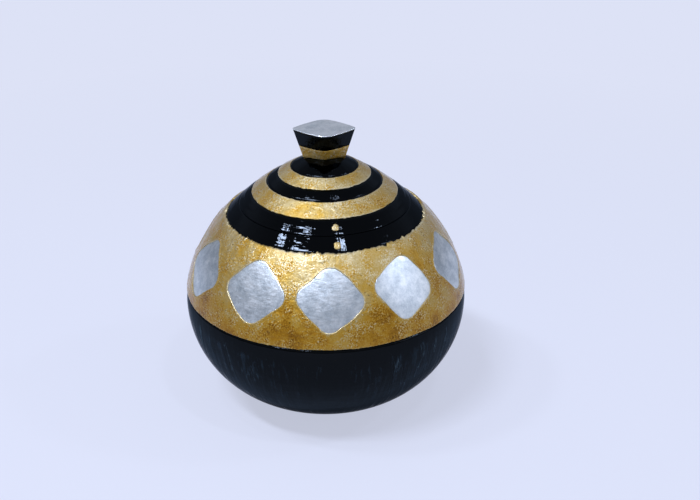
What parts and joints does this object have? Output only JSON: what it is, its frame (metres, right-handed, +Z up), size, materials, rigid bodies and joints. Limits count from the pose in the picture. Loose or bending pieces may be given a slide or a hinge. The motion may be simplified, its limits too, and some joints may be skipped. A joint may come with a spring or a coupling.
{
  "type": "lidded pot",
  "caption": "Round lidded pot made from a coconut shell, lacquered black, with a gilded belt of inlaid silvered diamonds and a lift-off domed lid with a carved knob.",
  "frame": {"origin": "centre of the foot's underside, on the pot's axis, on the table", "axes": "+Z up the pot's axis towards the knob, -Y towards the front diamond and the pair of gilded marks, +X to the right of the front"},
  "size_m": [0.1198, 0.1198, 0.1232],
  "materials": {
    "black_lacquer": "high-gloss black lacquer on coconut shell and wood",
    "gold_leaf": "rubbed gold leaf on grainy lacquer putty",
    "silver_leaf": "satin silver leaf on shell chips",
    "bare_wood": "bare turned wood"
  },
  "bodies": {
    "pot": {"bowl_shell": "black_lacquer", "foot": "black_lacquer", "gilded_belt": "gold_leaf", "bowl_mark": "gold_leaf", "inlay_diamond_01": "silver_leaf", "inlay_diamond_02": "silver_leaf", "inlay_diamond_03": "silver_leaf", "inlay_diamond_04": "silver_leaf", "inlay_diamond_05": "silver_leaf", "inlay_diamond_06": "silver_leaf", "inlay_diamond_07": "silver_leaf", "inlay_diamond_08": "silver_leaf", "inlay_diamond_09": "silver_leaf", "inlay_diamond_10": "silver_leaf"},
    "lid": {"lid_shell": "black_lacquer", "lid_register_ring": "black_lacquer", "lid_narrow_ring": "gold_leaf", "lid_wide_ring": "gold_leaf", "lid_mark": "gold_leaf", "knob_body": "black_lacquer", "knob_gilded_band": "gold_leaf", "knob_top_plate": "silver_leaf", "knob_dowel": "bare_wood"}
  },
  "joints": [
    {"name": "lid_lift", "type": "slide", "parent": "pot", "child": "lid", "axis": [0, 0, 1], "range_m": [0, 0.08]}
  ]
}
